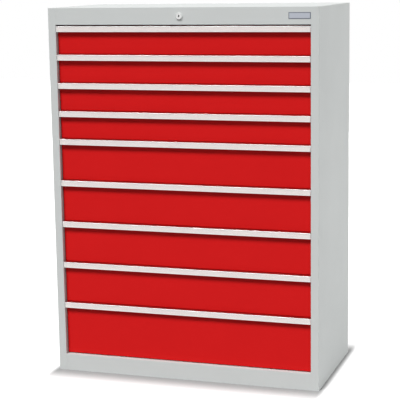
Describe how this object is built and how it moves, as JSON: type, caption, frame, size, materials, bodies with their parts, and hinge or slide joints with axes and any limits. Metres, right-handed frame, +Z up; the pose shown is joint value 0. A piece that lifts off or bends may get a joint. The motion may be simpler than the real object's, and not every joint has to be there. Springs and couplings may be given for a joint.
{
  "type": "drawer cabinet",
  "caption": "Upright steel drawer cabinet with full-width grips, telescopic slides and a central lock above the drawers.",
  "frame": {"origin": "middle of the footprint, on the floor", "axes": "+X to the right seen from the front, +Y to the rear, +Z up; the drawers open towards -Y"},
  "size_m": [0.978, 0.499, 1.319],
  "materials": {
    "housing_paint": "light grey powder coat, smooth satin",
    "front_paint": "bright red powder coat, smooth satin",
    "grip_metal": "extruded, natural anodised",
    "tray_paint": "grey powder coat",
    "slide_steel": "zinc plated, rolled",
    "lock_chrome": "polished",
    "bar_steel": "zinc plated"
  },
  "bodies": {
    "housing": {"side_panel_left": "housing_paint", "side_panel_right": "housing_paint", "top_panel": "housing_paint", "back_panel": "housing_paint", "base_panel": "housing_paint", "bottom_rail": "housing_paint", "top_rail": "housing_paint", "slide_posts": "bar_steel", "fixed_slides": "slide_steel", "lock_housing": "lock_chrome", "lock_bar_guides": "bar_steel"},
    "drawer_1": {"drawer_1_tray": "tray_paint", "drawer_1_front": "front_paint", "drawer_1_grip": "grip_metal", "drawer_1_slides": "slide_steel"},
    "drawer_1_middle": {"drawer_1_middle_slides": "slide_steel"},
    "drawer_2": {"drawer_2_tray": "tray_paint", "drawer_2_front": "front_paint", "drawer_2_grip": "grip_metal", "drawer_2_slides": "slide_steel"},
    "drawer_2_middle": {"drawer_2_middle_slides": "slide_steel"},
    "drawer_3": {"drawer_3_tray": "tray_paint", "drawer_3_front": "front_paint", "drawer_3_grip": "grip_metal", "drawer_3_slides": "slide_steel"},
    "drawer_3_middle": {"drawer_3_middle_slides": "slide_steel"},
    "drawer_4": {"drawer_4_tray": "tray_paint", "drawer_4_front": "front_paint", "drawer_4_grip": "grip_metal", "drawer_4_slides": "slide_steel"},
    "drawer_4_middle": {"drawer_4_middle_slides": "slide_steel"},
    "drawer_5": {"drawer_5_tray": "tray_paint", "drawer_5_front": "front_paint", "drawer_5_grip": "grip_metal", "drawer_5_slides": "slide_steel"},
    "drawer_5_middle": {"drawer_5_middle_slides": "slide_steel"},
    "drawer_6": {"drawer_6_tray": "tray_paint", "drawer_6_front": "front_paint", "drawer_6_grip": "grip_metal", "drawer_6_slides": "slide_steel"},
    "drawer_6_middle": {"drawer_6_middle_slides": "slide_steel"},
    "drawer_7": {"drawer_7_tray": "tray_paint", "drawer_7_front": "front_paint", "drawer_7_grip": "grip_metal", "drawer_7_slides": "slide_steel"},
    "drawer_7_middle": {"drawer_7_middle_slides": "slide_steel"},
    "drawer_8": {"drawer_8_tray": "tray_paint", "drawer_8_front": "front_paint", "drawer_8_grip": "grip_metal", "drawer_8_slides": "slide_steel"},
    "drawer_8_middle": {"drawer_8_middle_slides": "slide_steel"},
    "drawer_9": {"drawer_9_tray": "tray_paint", "drawer_9_front": "front_paint", "drawer_9_grip": "grip_metal", "drawer_9_slides": "slide_steel"},
    "drawer_9_middle": {"drawer_9_middle_slides": "slide_steel"},
    "lock_cylinder": {"lock_plug": "lock_chrome", "lock_cam": "bar_steel"},
    "locking_bar": {"lock_crossbar": "bar_steel", "lock_bar": "bar_steel"}
  },
  "joints": [
    {"name": "drawer_1_slide", "type": "slide", "parent": "housing", "child": "drawer_1", "axis": [0, -1, 0], "range_m": [0, 0.4]},
    {"name": "drawer_1_middle_slide", "type": "slide", "parent": "housing", "child": "drawer_1_middle", "axis": [0, -1, 0], "range_m": [0, 0.2]},
    {"name": "drawer_2_slide", "type": "slide", "parent": "housing", "child": "drawer_2", "axis": [0, -1, 0], "range_m": [0, 0.4]},
    {"name": "drawer_2_middle_slide", "type": "slide", "parent": "housing", "child": "drawer_2_middle", "axis": [0, -1, 0], "range_m": [0, 0.2]},
    {"name": "drawer_3_slide", "type": "slide", "parent": "housing", "child": "drawer_3", "axis": [0, -1, 0], "range_m": [0, 0.4]},
    {"name": "drawer_3_middle_slide", "type": "slide", "parent": "housing", "child": "drawer_3_middle", "axis": [0, -1, 0], "range_m": [0, 0.2]},
    {"name": "drawer_4_slide", "type": "slide", "parent": "housing", "child": "drawer_4", "axis": [0, -1, 0], "range_m": [0, 0.4]},
    {"name": "drawer_4_middle_slide", "type": "slide", "parent": "housing", "child": "drawer_4_middle", "axis": [0, -1, 0], "range_m": [0, 0.2]},
    {"name": "drawer_5_slide", "type": "slide", "parent": "housing", "child": "drawer_5", "axis": [0, -1, 0], "range_m": [0, 0.4]},
    {"name": "drawer_5_middle_slide", "type": "slide", "parent": "housing", "child": "drawer_5_middle", "axis": [0, -1, 0], "range_m": [0, 0.2]},
    {"name": "drawer_6_slide", "type": "slide", "parent": "housing", "child": "drawer_6", "axis": [0, -1, 0], "range_m": [0, 0.4]},
    {"name": "drawer_6_middle_slide", "type": "slide", "parent": "housing", "child": "drawer_6_middle", "axis": [0, -1, 0], "range_m": [0, 0.2]},
    {"name": "drawer_7_slide", "type": "slide", "parent": "housing", "child": "drawer_7", "axis": [0, -1, 0], "range_m": [0, 0.4]},
    {"name": "drawer_7_middle_slide", "type": "slide", "parent": "housing", "child": "drawer_7_middle", "axis": [0, -1, 0], "range_m": [0, 0.2]},
    {"name": "drawer_8_slide", "type": "slide", "parent": "housing", "child": "drawer_8", "axis": [0, -1, 0], "range_m": [0, 0.4]},
    {"name": "drawer_8_middle_slide", "type": "slide", "parent": "housing", "child": "drawer_8_middle", "axis": [0, -1, 0], "range_m": [0, 0.2]},
    {"name": "drawer_9_slide", "type": "slide", "parent": "housing", "child": "drawer_9", "axis": [0, -1, 0], "range_m": [0, 0.4]},
    {"name": "drawer_9_middle_slide", "type": "slide", "parent": "housing", "child": "drawer_9_middle", "axis": [0, -1, 0], "range_m": [0, 0.2]},
    {"name": "lock_turn", "type": "hinge", "parent": "housing", "child": "lock_cylinder", "pos_m": [0, -0.2465, 1.2895], "axis": [0, 1, 0], "range_deg": [0, 90]},
    {"name": "locking_bar_lift", "type": "slide", "parent": "housing", "child": "locking_bar", "axis": [0, 0, 1], "range_m": [0, 0.01]}
  ],
  "couplings": [
    {"joint": "drawer_1_middle_slide", "follows": "drawer_1_slide", "ratio": 0.5},
    {"joint": "drawer_2_middle_slide", "follows": "drawer_2_slide", "ratio": 0.5},
    {"joint": "drawer_3_middle_slide", "follows": "drawer_3_slide", "ratio": 0.5},
    {"joint": "drawer_4_middle_slide", "follows": "drawer_4_slide", "ratio": 0.5},
    {"joint": "drawer_5_middle_slide", "follows": "drawer_5_slide", "ratio": 0.5},
    {"joint": "drawer_6_middle_slide", "follows": "drawer_6_slide", "ratio": 0.5},
    {"joint": "drawer_7_middle_slide", "follows": "drawer_7_slide", "ratio": 0.5},
    {"joint": "drawer_8_middle_slide", "follows": "drawer_8_slide", "ratio": 0.5},
    {"joint": "drawer_9_middle_slide", "follows": "drawer_9_slide", "ratio": 0.5},
    {"joint": "lock_turn", "follows": "locking_bar_lift", "rad_per_m": 157.08}
  ]
}
